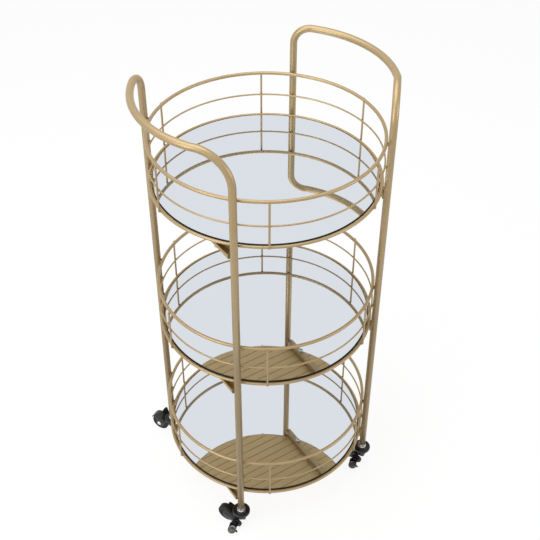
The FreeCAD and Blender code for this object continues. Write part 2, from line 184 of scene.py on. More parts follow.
def draw_side_frame():
    """The +X frame, drawn from its front foot up, over the handle and down to its back foot."""
    front_way = plan(1, math.pi / 2 - FRONT_ANGLE)
    back_way = plan(1, BACK_ANGLE - math.pi / 2)
    front_leg, back_leg = Vector((LEG_X, -LEG_Y, 0)), Vector((LEG_X, LEG_Y, 0))
    front_centre = front_leg + FRONT_CORNER * front_way - plan(SHOULDER_RADIUS, -FRONT_ANGLE)
    back_centre = back_leg + BACK_CORNER * back_way - plan(SHOULDER_RADIUS, BACK_ANGLE)
    chord = back_centre - front_centre
    sagitta = math.sqrt((BOW_RADIUS - SHOULDER_RADIUS) ** 2 - (chord.length / 2) ** 2)
    bow_centre = (front_centre + back_centre) / 2 + sagitta * UP.cross(chord).normalized()
    bow_start = plan_angle(front_centre - bow_centre)
    bow_end = plan_angle(back_centre - bow_centre)
    front_top, back_top = HANDLE_HEIGHT - FRONT_CORNER, HANDLE_HEIGHT - BACK_CORNER

    shape = bmesh.new()
    ring = bmesh.ops.create_circle(shape, radius=TUBE_RADIUS, segments=TUBE_SEGMENTS)["verts"]
    bmesh.ops.translate(shape, vec=front_leg + LEG_END * UP, verts=ring)
    end = ring + shape.edges[:]
    end = carry_on(shape, end, front_leg, UP, 0, 1, (front_top - LEG_END) * UP)
    corner = front_leg + FRONT_CORNER * front_way + front_top * UP
    end = carry_on(shape, end, corner, UP.cross(front_way), math.pi / 2, FRONT_CORNER_STEPS)
    end = carry_on(shape, end, front_centre, UP, bow_start + FRONT_ANGLE, SHOULDER_STEPS)
    end = carry_on(shape, end, bow_centre, UP, bow_end - bow_start, BOW_STEPS)
    end = carry_on(shape, end, back_centre, UP, BACK_ANGLE - bow_end, SHOULDER_STEPS)
    corner = back_leg + BACK_CORNER * back_way + back_top * UP
    end = carry_on(shape, end, corner, back_way.cross(UP), math.pi / 2, BACK_CORNER_STEPS)
    carry_on(shape, end, back_leg, UP, 0, 1, (LEG_END - back_top) * UP)
    return shape


def tidy_shape(shape):
    bmesh.ops.remove_doubles(shape, verts=shape.verts, dist=0.001)
    bmesh.ops.recalc_face_normals(shape, faces=shape.faces)
    return shape


for side, way in (("left", -1), ("right", 1)):
    bent_tube = draw_side_frame()
    bmesh.ops.scale(bent_tube, vec=(way, 1, 1), verts=bent_tube.verts)
    tidy_shape(bent_tube)
    piece = finish_piece("bent_tube_" + side, bent_tube, [champagne_tube], "trolley", "gold_tube",
                         "side_frame_" + side)
    wall = piece.modifiers.new("wall", "SOLIDIFY")
    wall.thickness = TUBE_WALL * METRES
    wall.offset = -1
    wall.use_rim = True

# Baskets. Three wire hoops per basket, the rail the thickest and the middle one the thinnest,
# with six short rods welded outside them and all of it welded to the legs, under the same paint.

BASKETS = {"bottom": 99.5, "middle": 405.0, "top": 710.5}
BASKET_RADIUS = 200.0
HOOPS = {"rail_hoop": (6.0, 85.5), "middle_hoop": (3.0, 41.5), "base_hoop": (5.0, 0.0)}
ROD_RADIUS = 1.75
ROD_FOOT = 0.5
ROD_ANGLES = {
    "bottom": (0.4, 59.7, 119.9, 179.6, 239.6, 299.7),
    "middle": (-1.6, 59.7, 118.9, 179.5, 238.2, 298.5),
    "top": (0.0, 59.8, 120.5, 179.0, 239.0, 298.8),
}
LEG_AZIMUTH = math.atan2(LEG_Y, LEG_X)
WIRE_SEGMENTS, HOOP_STEPS = 20, 180
ROD_SINK = 0.1  # how far each rod is sunk into the hoops
ROD_ROUND = 0.6

champagne_wire = sprayed("champagne_wire", CHAMPAGNE, CHAMPAGNE_DEEP, PAINT_METAL, 0.32, 0.40,
                         Peel_Scale=1100)


def draw_hoop(wire, height):
    shape = bmesh.new()
    ring = bmesh.ops.create_circle(shape, radius=wire / 2, segments=WIRE_SEGMENTS)["verts"]
    bmesh.ops.rotate(shape, cent=(0, 0, 0), matrix=Matrix.Rotation(math.pi / 2, 3, "X"), verts=ring)
    bmesh.ops.translate(shape, vec=(BASKET_RADIUS - wire / 2, 0, height), verts=ring)
    bmesh.ops.spin(shape, geom=ring + shape.edges[:], cent=(0, 0, 0), axis=UP, angle=math.tau,
                   steps=HOOP_STEPS, use_merge=True)
    return tidy_shape(shape)


def sharp_edges(shape, least=0.5):
    """Edges that a tool would break: those where two faces meet at more than least radians."""
    return [edge for edge in shape.edges if edge.is_manifold and edge.calc_face_angle(0) > least]


def soften(shape, offset, segments=2):
    bmesh.ops.bevel(shape, geom=sharp_edges(shape), offset=offset, segments=segments, profile=0.5,
                    affect="EDGES", material=-1)


def add_drum(shape, radius, length, centre, segments=24, axis=UP):
    """Closed cylinder with its middle at a point."""
    turn = Vector(axis).to_track_quat("Z", "Y").to_matrix().to_4x4()
    place = Matrix.Translation(centre) @ turn
    bmesh.ops.create_cone(shape, cap_ends=True, segments=segments, radius1=radius, radius2=radius,
                          depth=length, matrix=place)


def draw_rods(base, angles):
    shape = bmesh.new()
    length = HOOPS["rail_hoop"][1] + ROD_FOOT
    for degrees in angles:
        foot = plan(BASKET_RADIUS + ROD_RADIUS - ROD_SINK, math.radians(degrees))
        add_drum(shape, ROD_RADIUS, length, foot + (base - ROD_FOOT + length / 2) * UP,
                 WIRE_SEGMENTS)
    soften(shape, ROD_ROUND, 3)
    return shape


def add_bead(shape, angle, radius, height, reach, width, rise):
    """One blob of weld metal, smoothed over by the paint."""
    place = Matrix.Translation(plan(radius, angle) + height * UP)
    turn = Matrix.Rotation(angle, 4, "Z")
    size = Matrix.Diagonal((reach, width, rise, 1))
    bmesh.ops.create_icosphere(shape, subdivisions=3, radius=1, matrix=place @ turn @ size)


def draw_welds(base, angles):
    """Weld beads beside each rod where it crosses a hoop, and where the hoops touch the legs."""
    shape = bmesh.new()
    legs = [side * LEG_AZIMUTH + turn for side in (-1, 1) for turn in (0, math.pi)]
    for wire, rise in HOOPS.values():
        for degrees in angles:
            angle = math.radians(degrees)
            for way in (-1, 1):
                beside = angle + way * ROD_RADIUS * 0.9 / BASKET_RADIUS
                add_bead(shape, beside, BASKET_RADIUS + 0.1, base + rise,
                         0.9, 1.5, 0.5 + wire / 4)
        for angle in legs:
            for way in (-1, 1):
                add_bead(shape, angle + way * 0.012, BASKET_RADIUS + 0.7, base + rise,
                         1.3, 2.2, 0.4 + wire / 4)
    return shape


for basket, base in BASKETS.items():
    for part, (wire, rise) in HOOPS.items():
        finish_piece(basket + "_" + part + "_wire", draw_hoop(wire, base + rise),
                     [champagne_wire], "trolley", "gold_wire", basket + "_" + part)
    finish_piece(basket + "_rods", draw_rods(base, ROD_ANGLES[basket]), [champagne_wire],
                 "trolley", "gold_wire", basket + "_uprights")
    finish_piece(basket + "_weld_beads", draw_welds(base, ROD_ANGLES[basket]), [champagne_wire],
                 "trolley", "gold_wire")

# Tray pans. Shallow dishes pressed from sheet, with straight lines pressed into the underside,
# and painted with the wires that they are welded to.

PAN_RADIUS = 194.9
PAN_SHEET = 1.5
PAN_UNDERSIDE = -6.5
PAN_FLOOR = -5.0
PAN_BEND = 2.5
RIB_PITCH = 19.0
RIB_WIDTH = 1.6
RIB_DEPTH = 0.5
RIB_REACH = 185.9
DISC_STEPS = 144
NEAR = 0.01

LINE_HALF = 0.0011  # metres, from a line's middle to its edge
LINE_FADE_START, LINE_SHADE_STRENGTH = 0.6, 0.75
# Painted light: the pans and bosses carry the wires' champagne paint, but this copy of it is
# lighter, standing in for the light on their undersides.
PAN_GOLD_LIT = (0.72, 0.51, 0.235, 1)
PAN_GOLD_LIT_DEEP = (0.64, 0.45, 0.205, 1)
# Painted shade in the pressed lines: the colour that the sheet is darkened towards along each line.
LINE_SHADE = (0.15, 0.105, 0.05, 1)


def paint_pressed_sheet():
    """The sheet's paint, with painted shade darkening it along the pressed lines, which run along
    X.
    """
    # Painted light: the lighter copy of the wires' paint, in place of light on the pans'
    # undersides.
    material = sprayed("lit_champagne_sheet", PAN_GOLD_LIT, PAN_GOLD_LIT_DEEP, 0.3, 0.44, 0.52,
                       Patch_Scale=9)
    nodes, links = material.node_tree.nodes, material.node_tree.links
    shader = nodes["Principled BSDF"]
    place = nodes.new("ShaderNodeTexCoord")
    axes = nodes.new("ShaderNodeSeparateXYZ")
    links.new(place.outputs["Object"], axes.inputs["Vector"])
    value = axes.outputs["Y"]
    half_pitch = RIB_PITCH / 2 * METRES
    steps = (("ADD", half_pitch), ("PINGPONG", half_pitch), ("DIVIDE", LINE_HALF))
    for operation, operand in steps:
        step = nodes.new("ShaderNodeMath")
        step.operation = operation
        step.inputs[1].default_value = operand
        links.new(value, step.inputs[0])
        value = step.outputs["Value"]
    lines = nodes.new("ShaderNodeMapRange")
    lines.inputs["From Min"].default_value = LINE_FADE_START
    lines.inputs["From Max"].default_value = 1
    lines.inputs["To Min"].default_value = LINE_SHADE_STRENGTH
    lines.inputs["To Max"].default_value = 0
    # Painted shade: mixes the sheet's colour towards the line shade along each pressed line.
    line_shade_mix = nodes.new("ShaderNodeMix")
    line_shade_mix.data_type = "RGBA"
    line_shade_mix.inputs[MIX_B].default_value = LINE_SHADE
    links.new(value, lines.inputs["Value"])
    links.new(lines.outputs["Result"], line_shade_mix.inputs["Factor"])
    links.new(shader.inputs["Base Color"].links[0].from_socket, line_shade_mix.inputs[MIX_A])
    links.new(line_shade_mix.outputs[MIX_RESULT], shader.inputs["Base Color"])
    return material


lit_champagne_sheet = paint_pressed_sheet()


def spin_outline(shape, outline, steps=96, axis=UP, centre=(0, 0, 0), closed=True):
    """Full turn of a (radius, height) outline about Z, or about another axis through centre."""
    known = set(shape.verts)
    corners = [shape.verts.new((radius, 0, height)) for radius, height in outline]
    pairs = list(zip(corners, corners[1:])) + ([(corners[-1], corners[0])] if closed else [])
    edges = [shape.edges.new(pair) for pair in pairs]
    bmesh.ops.spin(shape, geom=corners + edges, cent=(0, 0, 0), axis=UP, angle=math.tau,
                   steps=steps, use_merge=True)
    drawn = [vert for vert in shape.verts if vert not in known]
    turn = Vector(axis).to_track_quat("Z", "Y").to_matrix().to_4x4()
    bmesh.ops.transform(shape, matrix=Matrix.Translation(centre) @ turn, verts=drawn)
    return shape


def arc(centre, radius, start, end, steps):
    """Outline points round a centre, angles in degrees."""
    points = []
    for step in range(steps + 1):
        angle = math.radians(start + (end - start) * step / steps)
        points.append((centre[0] + radius * math.cos(angle),
                       centre[1] + radius * math.sin(angle)))
    return points


def close_holes(shape):
    open_edges = [edge for edge in shape.edges if edge.is_boundary]
    bmesh.ops.holes_fill(shape, edges=open_edges, sides=0)
    return tidy_shape(shape)


def draw_pan(base):
    """Pressed pan: the rim is spun, and each line is cut into the underside and pushed up."""
    inside = PAN_RADIUS - PAN_SHEET
    inner_bend = PAN_BEND - PAN_SHEET
    outline = [(RIB_REACH, PAN_UNDERSIDE)]
    outline += arc((PAN_RADIUS - PAN_BEND, PAN_UNDERSIDE + PAN_BEND), PAN_BEND, -90, 0, 5)
    outline += arc((PAN_RADIUS - PAN_SHEET / 2, -PAN_SHEET / 2), PAN_SHEET / 2, 0, 180, 6)
    outline += arc((inside - inner_bend, PAN_FLOOR + inner_bend), inner_bend, 0, -90, 4)
    outline.append((RIB_REACH, PAN_FLOOR))
    shape = spin_outline(bmesh.new(), outline, DISC_STEPS, closed=False)
    close_holes(shape)
    lines = int(RIB_REACH / RIB_PITCH - 0.5) + 1
    for index in range(-lines, lines):
        middle = (index + 0.5) * RIB_PITCH
        for across in (-RIB_WIDTH / 2, 0, RIB_WIDTH / 2):
            flat = [face for face in shape.faces
                    if face.calc_center_median().z < PAN_UNDERSIDE + NEAR]
            geom = flat + list({edge for face in flat for edge in face.edges})
            geom += list({vert for face in flat for vert in face.verts})
            bmesh.ops.bisect_plane(shape, geom=geom, plane_co=(0, middle + across, 0),
                                   plane_no=(0, 1, 0))
        for vert in shape.verts:
            if abs(vert.co.y - middle) < NEAR and abs(vert.co.z - PAN_UNDERSIDE) < NEAR:
                if vert.co.xy.length < RIB_REACH + 0.1:
                    vert.co.z += RIB_DEPTH
    bmesh.ops.translate(shape, vec=base * UP, verts=shape.verts)
    return tidy_shape(shape)


for basket, base in BASKETS.items():
    finish_piece(basket + "_pressed_pan", draw_pan(base), [lit_champagne_sheet],
                 "trolley", "gold_sheet", basket + "_tray_pan", sharp=12)

# Mirrors. Round silvered glass on a dark backing board, laid loose in each pan. The edge is ground,
# and is coloured near black, partly as the glass's own dark tone and partly as painted shade of the
# shadowed gap beside the base hoop, where it shows as a thin dark line.

MIRROR_RADIUS = 192.0
MIRROR_BOTTOM = -5.0
MIRROR_TOPS = {"bottom": 3.0, "middle": 3.0, "top": 2.0}
MIRROR_CHAMFER = 0.4
MIRROR_TINT = (0.70, 0.735, 0.785, 1)


def make_silver():
    """Silvered glass, with a faint film on its face that dulls it in patches."""
    material, nodes, links = new_material("silvered_glass")
    shader = nodes["Principled BSDF"]
    film = add_group(nodes, paint_skin, Patch_Scale=6, Peel_Depth=0)
    gloss = add_range(nodes, 0.012, 0.03)
    links.new(film.outputs["Patches"], gloss.inputs["Value"])
    links.new(gloss.outputs["Result"], shader.inputs["Roughness"])
    shader.inputs["Base Color"].default_value = MIRROR_TINT
    shader.inputs["Metallic"].default_value = 1
    return material


silvered_glass = make_silver()
# Near black for the ground edge's own dark tone and for painted shade of the gap beside the base
# hoop.
ground_edge_and_gap_shade = sprayed("ground_edge_and_gap_shade", (0.055, 0.058, 0.06, 1), (0.03, 0.032, 0.034, 1),
                      0, 0.35, 0.5)


def draw_mirror(base, top):
    outline = [(MIRROR_RADIUS, MIRROR_BOTTOM), (MIRROR_RADIUS, top - MIRROR_CHAMFER),
               (MIRROR_RADIUS - MIRROR_CHAMFER, top)]
    shape = spin_outline(bmesh.new(), outline, DISC_STEPS, closed=False)
    close_holes(shape)
    for face in shape.faces:
        face.material_index = 0 if face.calc_center_median().z > top - 0.1 else 1
    bmesh.ops.translate(shape, vec=base * UP, verts=shape.verts)
    return shape


for basket, base in BASKETS.items():
    finish_piece(basket + "_glass", draw_mirror(base, MIRROR_TOPS[basket]),
                 [silvered_glass, ground_edge_and_gap_shade], "trolley", "mirror_glass", basket + "_mirror",
                 sharp=12)

# Crossbars. Two folded channels under each basket, welded between the legs of a side frame, with
# a round boss on each screw that holds the basket down.

BAR_X = 151.18
BAR_WIDTH = 13.0
BAR_SHEET = 1.5
BAR_BOTTOM = -22.3
BAR_TOP = -6.8
BAR_LIP = -13.8
BAR_BEND = 2.5
BAR_END = LEG_Y - TUBE_RADIUS - 0.05
BAR_WELD_HEIGHTS = (1, 5, 9)
SCREW_Y = 93.0
SCREW_PLACES = [(x, y) for x in (-BAR_X, BAR_X) for y in (-SCREW_Y, SCREW_Y)]
BOSS_RADIUS = 5.0


def verts_of(items):
    return [item for item in items if isinstance(item, bmesh.types.BMVert)]


def prism(shape, corners, way, place=(0, 0, 0)):
    """Flat outline, given as points, drawn out along a way."""
    verts = [shape.verts.new(Vector(corner)) for corner in corners]
    face = shape.faces.new(verts)
    drawn = bmesh.ops.extrude_face_region(shape, geom=[face])["geom"]
    moved = verts_of(drawn)
    bmesh.ops.translate(shape, vec=way, verts=moved)
    bmesh.ops.translate(shape, vec=place, verts=verts + moved)
    bmesh.ops.recalc_face_normals(shape, faces=shape.faces)
    return verts + moved


def draw_crossbar(base, way):
    """Folded channel with its high flange inside, a low lip outside and weld beads at its ends."""
    inner, outer = BAR_X - BAR_WIDTH / 2, BAR_X + BAR_WIDTH / 2
    inside = BAR_BEND - BAR_SHEET
    section = [(inner, BAR_TOP)]
    section += arc((inner + BAR_BEND, BAR_BOTTOM + BAR_BEND), BAR_BEND, 180, 270, 5)
    section += arc((outer - BAR_BEND, BAR_BOTTOM + BAR_BEND), BAR_BEND, 270, 360, 5)
    section += [(outer, BAR_LIP), (outer - BAR_SHEET, BAR_LIP)]
    section += arc((outer - BAR_BEND, BAR_BOTTOM + BAR_BEND), inside, 0, -90, 4)
    section += arc((inner + BAR_BEND, BAR_BOTTOM + BAR_BEND), inside, 270, 180, 4)
    section.append((inner + BAR_SHEET, BAR_TOP))
    shape = bmesh.new()
    prism(shape, [(x, -BAR_END, z) for x, z in section], (0, 2 * BAR_END, 0))
    soften(shape, 0.25, 2)
    for side in (-1, 1):
        for rise in BAR_WELD_HEIGHTS:
            bead = Matrix.Translation((LEG_X - 4.3, side * (BAR_END + 0.6), BAR_BOTTOM + rise))
            bmesh.ops.create_icosphere(shape, subdivisions=3, radius=1,
                                       matrix=bead @ Matrix.Diagonal((1.6, 1.5, 2.6, 1)))
    place = Matrix.Translation((0, 0, base)) @ Matrix.Diagonal((way, 1, 1, 1))
    bmesh.ops.transform(shape, matrix=place, verts=shape.verts)
    bmesh.ops.recalc_face_normals(shape, faces=shape.faces)
    return shape


def draw_bosses(base):
    shape = bmesh.new()
    middle = (PAN_UNDERSIDE + BAR_BOTTOM + BAR_SHEET) / 2
    length = PAN_UNDERSIDE - BAR_BOTTOM - BAR_SHEET
    for x, y in SCREW_PLACES:
        add_drum(shape, BOSS_RADIUS, length, (x, y, base + middle), 32)
    soften(shape, 0.5)
    return shape


for basket, base in BASKETS.items():
    for side, way in (("left", -1), ("right", 1)):
        finish_piece(basket + "_folded_bar_" + side, draw_crossbar(base, way), [champagne_tube],
                     "trolley", "gold_sheet", basket + "_crossbar_" + side)
    finish_piece(basket + "_bosses", draw_bosses(base), [lit_champagne_sheet],
                 "trolley", "gold_sheet", basket + "_tray_bosses")

# Screws and leg plugs. Bright zinc-plated steel: the socket-head tray screws driven up through
# the crossbars, and the flanged plugs pressed into the leg ends.

ZINC = (0.72, 0.73, 0.74, 1)
ZINC_DULL = (0.52, 0.53, 0.55, 1)
HEAD_RADIUS, HEAD_HEIGHT, HEAD_CHAMFER = 5.0, 6.0, 0.4
SHANK_RADIUS, SHANK_LENGTH = 3.0, 13.0
SWIVEL_X, SWIVEL_Y = 149.18, 142.5
SOCKET_RADIUS, SOCKET_DEPTH = 2.9, 3.0
PLUG_BORE, PLUG_BODY, PLUG_TOP, PLUG_FLANGE = 4.05, 4.6, 76.5, 55.5

zinc_plate = sprayed("zinc_plate", ZINC, ZINC_DULL, 1.0, 0.22, 0.34,
                     Peel_Scale=2200, Patch_Scale=120)


def edges_of(items):
    return [item for item in items if isinstance(item, bmesh.types.BMEdge)]


def draw_screw(shape, x, y, bottom):
    """Round head, open side down, with a six-sided socket, and its shank."""
    known = set(shape.verts)
    narrow = HEAD_RADIUS - HEAD_CHAMFER
    outside = bmesh.ops.create_circle(shape, radius=narrow, segments=36)["verts"]
    socket = bmesh.ops.create_circle(shape, radius=SOCKET_RADIUS, segments=6)["verts"]
    rims = [edge for edge in shape.edges if edge.verts[0] not in known]
    bmesh.ops.bridge_loops(shape, edges=rims)
    rim = [edge for edge in rims if edge.verts[0] in outside]
    for rise, grow in ((HEAD_CHAMFER, HEAD_RADIUS / narrow), (HEAD_HEIGHT - HEAD_CHAMFER, 1)):
        drawn = bmesh.ops.extrude_edge_only(shape, edges=rim)["geom"]
        moved, rim = verts_of(drawn), edges_of(drawn)
        bmesh.ops.scale(shape, vec=(grow, grow, 1), verts=moved)
        bmesh.ops.translate(shape, vec=(0, 0, rise), verts=moved)
    bmesh.ops.holes_fill(shape, edges=rim, sides=0)
    rim = [edge for edge in rims if edge.is_valid and edge.verts[0] in socket]
    drawn = bmesh.ops.extrude_edge_only(shape, edges=rim)["geom"]
    bmesh.ops.translate(shape, vec=(0, 0, SOCKET_DEPTH), verts=verts_of(drawn))
    bmesh.ops.holes_fill(shape, edges=edges_of(drawn), sides=0)
    new = [vert for vert in shape.verts if vert not in known]
    bmesh.ops.translate(shape, vec=(x, y, bottom), verts=new)
    add_drum(shape, SHANK_RADIUS, SHANK_LENGTH, (x, y, bottom + HEAD_HEIGHT + SHANK_LENGTH / 2), 24)


def draw_screws(base):
    shape = bmesh.new()
    for x, y in SCREW_PLACES:
        draw_screw(shape, x, y, base + BAR_BOTTOM - HEAD_HEIGHT)
    bmesh.ops.recalc_face_normals(shape, faces=shape.faces)
    return shape


def draw_plugs():
    """Sleeves bored for the studs, each with a flange just wider than the leg's end."""
    shape = bmesh.new()
    rim = TUBE_RADIUS + 0.4
    outline = [(PLUG_BORE, PLUG_FLANGE), (rim - 0.2, PLUG_FLANGE), (rim, PLUG_FLANGE + 0.2),
               (rim, LEG_END), (PLUG_BODY, LEG_END), (PLUG_BODY, PLUG_TOP), (PLUG_BORE, PLUG_TOP)]
    for x in (-SWIVEL_X, SWIVEL_X):
        for y in (-SWIVEL_Y, SWIVEL_Y):
            spin_outline(shape, outline, 40, centre=(x, y, 0))
    return tidy_shape(shape)


for basket, base in BASKETS.items():
    finish_piece(basket + "_socket_screws", draw_screws(base), [zinc_plate],
                 "trolley", "zinc", basket + "_tray_screws")
finish_piece("leg_plugs", draw_plugs(), [zinc_plate], "trolley", "zinc", "leg_inserts")

# Casters. A black-enamelled fork turns on the stud and carries a moulded wheel on a riveted pin.
# Each is drawn about its own swivel axis, trailing along +X, and then turned and put in place.

CASTERS = {"front": (-1, -1), "right": (1, -1), "left": (-1, 1), "rear": (1, 1)}
CASTER_TURN = math.radians(118)
BRAKED = ("front", "right")
TRAIL, WHEEL_RADIUS, WHEEL_HALF = 32.0, 19.0, 6.2
ARM_INNER, ARM_OUTER, BOSS_FACE = 6.8, 9.2, 12.0
HOOD_INNER, HOOD_OUTER = 20.2, 22.1
BRAKE_TRAIL, BRAKE_HEIGHT = 9.0, 13.0
BOSS_TRAIL, BOSS_HEIGHT, BOSS_ROUND = 3.6, 12.4, 8.8
ARM_END = 7.0
DRUM_RADIUS, DRUM_LENGTH, DRUM_MIDDLE = 9.5, 16.2, 34.0
AXLE_RADIUS, CAP_GAP = 3.0, 0.3
NUT_CORNER, NUT_HEIGHT, NUT_MIDDLE = 7.506, 5.2, 52.9
RACE_TOP, RACE_BOTTOM, RACE_RADIUS = 48.0, 42.0, 17.5
BLACK_PAINT = (0.006, 0.0055, 0.0055, 1)
BLACK_PAINT_WORN = (0.012, 0.011, 0.011, 1)
WHEEL_BLACK = (0.008, 0.008, 0.008, 1)
WHEEL_DUSTY = (0.02, 0.02, 0.02, 1)
DULL_STEEL = (0.30, 0.30, 0.31, 1)
DULL_STEEL_DARK = (0.20, 0.20, 0.21, 1)
ALONG_Y = Vector((0, 1, 0))


def specular(material, level):
    material.node_tree.nodes["Principled BSDF"].inputs["Specular IOR Level"].default_value = level


black_enamel = sprayed("black_enamel", BLACK_PAINT, BLACK_PAINT_WORN, 0, 0.2, 0.34,
                       Peel_Scale=900, Patch_Scale=60)
black_moulding = sprayed("black_moulding", WHEEL_BLACK, WHEEL_DUSTY, 0, 0.4, 0.55,
                         Peel_Scale=1500, Patch_Scale=90)
dull_steel = sprayed("dull_steel", DULL_STEEL, DULL_STEEL_DARK, 0.8, 0.3, 0.45,
                     Peel_Scale=1800, Patch_Scale=150)
specular(black_enamel, 0.35)
specular(black_moulding, 0.2)


def side_plate(shape, outline, near, far):
    """Plate standing along the trail, from its side outline."""
    corners = [(x, near, z) for x, z in outline]
    return prism(shape, corners, (0, far - near, 0))


def around_wheel(radius, start, end, steps):
    return arc((TRAIL, WHEEL_RADIUS), radius, start, end, steps)


def arm_outline(braked):
    if not braked:
        return (around_wheel(HOOD_OUTER - 0.3, 60, 150, 14) + [(TRAIL - 8, WHEEL_RADIUS - 8)]
                + around_wheel(ARM_END, -76, 0, 8))
    boss = arc((BOSS_TRAIL, BOSS_HEIGHT), BOSS_ROUND, 123, 284, 20)
    return [(31.0, 38.5)] + boss + around_wheel(ARM_END, -76, 0, 8)


def join_in(whole, part):
    """Moves a part into a whole, as a shell of its own."""
    mesh = bpy.data.meshes.new("part")
    part.to_mesh(mesh)
    part.free()
    whole.from_mesh(mesh)
    bpy.data.meshes.remove(mesh)


def part_of(whole, draw, offset, segments=2):
    """Adds one softened part to a whole."""
    part = bmesh.new()
    draw(part)
    bmesh.ops.recalc_face_normals(part, faces=part.faces)
    soften(part, offset, segments)
    join_in(whole, part)


def draw_race():
    """Swivel cover: rolled edge, and a ring pressed down round the nut."""
    outline = [(4.1, RACE_BOTTOM), (RACE_RADIUS - 0.6, RACE_BOTTOM),
               (RACE_RADIUS, RACE_BOTTOM + 0.6)]
    outline += arc((RACE_RADIUS - 2.2, RACE_TOP - 2.2), 2.2, 0, 90, 8)
    outline += [(14.3, RACE_TOP), (13.4, RACE_TOP - 0.9), (10.6, RACE_TOP - 0.9), (9.6, RACE_TOP),
                (4.1, RACE_TOP)]
    return tidy_shape(spin_outline(bmesh.new(), outline, 96))


def draw_housing(braked):
    """Race, swivel drum, web, hood and two arms, with a brake boss or a lug on one side."""
    housing = bmesh.new()
    join_in(housing, draw_race())
    hood_end = 90 if braked else 30
    drum = (DRUM_RADIUS, DRUM_LENGTH, (0, 0, DRUM_MIDDLE), 48)
    part_of(housing, lambda shape: add_drum(shape, *drum), 0.6)
    web = [(0, RACE_BOTTOM + 0.1), (0, 26.0), (7.6, 24.0)]
    web += around_wheel(HOOD_OUTER - 0.6, 160, 128, 8) + [(16.0, RACE_BOTTOM + 0.1)]
    part_of(housing, lambda shape: side_plate(shape, web, -6.6, 6.6), 0.3)
    cover = around_wheel(HOOD_OUTER, hood_end, 165, 20)
    cover += around_wheel(HOOD_INNER, 165, hood_end, 20)
    part_of(housing, lambda shape: side_plate(shape, cover, -ARM_OUTER, ARM_OUTER), 0.7, 3)
    for near, far in ((ARM_INNER, ARM_OUTER), (-ARM_OUTER, -ARM_INNER)):
        part_of(housing, lambda shape: side_plate(shape, arm_outline(braked), near, far), 0.5)
        middle = (near + far) / 2 + (0.25 if near > 0 else -0.25)
        eye = (ARM_END - 0.6, 2.5, (TRAIL, middle, WHEEL_RADIUS), 48, ALONG_Y)
        part_of(housing, lambda shape: add_drum(shape, *eye), 0.4)
    if braked:
        boss = (BOSS_ROUND, 4.0, (BOSS_TRAIL, BOSS_FACE - 2, BOSS_HEIGHT), 48, ALONG_Y)
        part_of(housing, lambda shape: add_drum(shape, *boss), 0.9, 3)
    else:
        lug = [(15.0, 34.5), (21.5, 54.8), (22.6, 55.8), (25.4, 55.2), (30.5, 48.0), (36.0, 36.0),
               (31.0, 24.9), (20.0, 24.9)]
        near, far = -ARM_OUTER - 3, -ARM_OUTER + 0.2
        part_of(housing, lambda shape: side_plate(shape, lug, near, far), 0.8, 3)
    return housing


def draw_wheel():
    """Solid wheel: rounded tread, dished sides and a raised hub."""
    half_side = [(3.06, 5.6), (5.4, 5.6), (5.9, 5.2), (6.2, 4.9), (13.6, 4.9), (14.1, 5.6),
                 (14.7, 6.1), (16.9, WHEEL_HALF)]
    half_side += arc((WHEEL_RADIUS - 2.0, WHEEL_HALF - 2.0), 2.0, 80, 0, 6)
    outline = half_side + [(radius, -side) for radius, side in reversed(half_side)]
    shape = spin_outline(bmesh.new(), outline, 72, ALONG_Y, (TRAIL, 0, WHEEL_RADIUS))
    return tidy_shape(shape)


def add_cap(shape, side):
    """Domed rivet head outside an arm."""
    centre = (TRAIL, side * (ARM_OUTER + CAP_GAP), WHEEL_RADIUS)
    dome = [(0, 2.6), (1.8, 2.4), (3.2, 1.7), (4.2, 0.8), (4.7, 0.1), (4.75, 0.0), (4.6, -0.4),
            (0, -0.4)]
    spin_outline(shape, dome, 40, side * ALONG_Y, centre, closed=False)


def draw_axle(braked):
    """Riveted pin. A braked caster's has no cap on the lever's side."""
    shape = bmesh.new()
    near = ARM_OUTER - 0.8 if braked else ARM_OUTER + CAP_GAP
    length = near + ARM_OUTER + CAP_GAP
    add_drum(shape, AXLE_RADIUS, length, (TRAIL, near - length / 2, WHEEL_RADIUS), 32, ALONG_Y)
    add_cap(shape, -1)
    if not braked:
        add_cap(shape, 1)
    return tidy_shape(shape)


def draw_stem():
    """Head, stud and washer, and the lock nut."""
    shape = bmesh.new()
    drums = ((6.5, 26.4, 29.4, 32), (4.0, 26.4, 78.5, 32), (8.5, 48.2, 50.3, 48))
    for radius, bottom, top, segments in drums:
        add_drum(shape, radius, top - bottom, (0, 0, (top + bottom) / 2), segments)
    add_drum(shape, NUT_CORNER, NUT_HEIGHT, (0, 0, NUT_MIDDLE), 6)
    soften(shape, 0.45)
    return shape


def put_in_place(shape, caster):
    side_x, side_y = CASTERS[caster]
    place = Matrix.Translation((side_x * SWIVEL_X, side_y * SWIVEL_Y, 0))
    turn = Matrix.Rotation(CASTER_TURN, 4, "Z")
    bmesh.ops.transform(shape, matrix=place @ turn, verts=shape.verts)
    return shape


for caster in CASTERS:
    braked = caster in BRAKED
    finish_piece(caster + "_fork", put_in_place(draw_housing(braked), caster), [black_enamel],
                 caster + "_caster", "black_steel", caster + "_caster_housing")
    finish_piece(caster + "_tyre", put_in_place(draw_wheel(), caster), [black_moulding],
                 caster + "_wheel", "black_wheel", caster + "_caster_wheel")
    finish_piece(caster + "_rivet", put_in_place(draw_axle(braked), caster), [zinc_plate],
                 caster + "_caster", "zinc", caster + "_caster_axle")
    finish_piece(caster + "_stud", put_in_place(draw_stem(), caster), [zinc_plate],
                 "trolley", "zinc", caster + "_caster_stem")

# Brakes. A black foot lever on a cross shaft through the fork, with a round dull-steel pad on its
# toe and a cam on the shaft, in front of the tread.

TOE_TRAIL, TOE_SIDE, TOE_RADIUS = 6.5, 27.0, 8.5
LEVER_SIDE = BOSS_FACE + 0.4
LEVER_TOP, LEVER_SHEET = 10.0, 3.0
BRAKE_TRAVEL = math.radians(35)
PAD_RADIUS, PAD_HEIGHT = 8.0, 1.5
SHAFT_RADIUS, HUB_RADIUS = 3.0, 5.5


